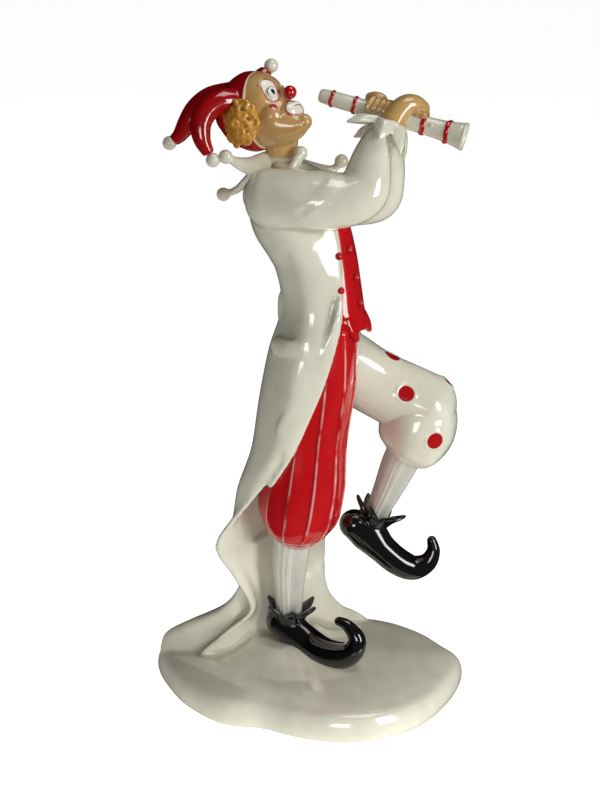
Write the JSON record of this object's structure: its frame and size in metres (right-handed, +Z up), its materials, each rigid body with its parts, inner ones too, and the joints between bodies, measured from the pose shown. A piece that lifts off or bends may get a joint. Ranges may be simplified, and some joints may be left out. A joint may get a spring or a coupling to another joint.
{
  "type": "clown musician figurine",
  "caption": "Glazed porcelain clown in a white tailcoat playing a pipe, one foot raised, on a puddle-shaped base.",
  "frame": {"origin": "centre of the base's flat underside", "axes": "+Z up out of the base; +X the way the clown faces and points the pipe; +Y his left-hand side"},
  "size_m": [0.1765, 0.1348, 0.356],
  "materials": {
    "glaze": "glossy transparent glaze over white porcelain, with painted red, black, golden and skin-coloured areas"
  },
  "bodies": {
    "root": {"clown_figurine": "glaze"}
  },
  "joints": []
}
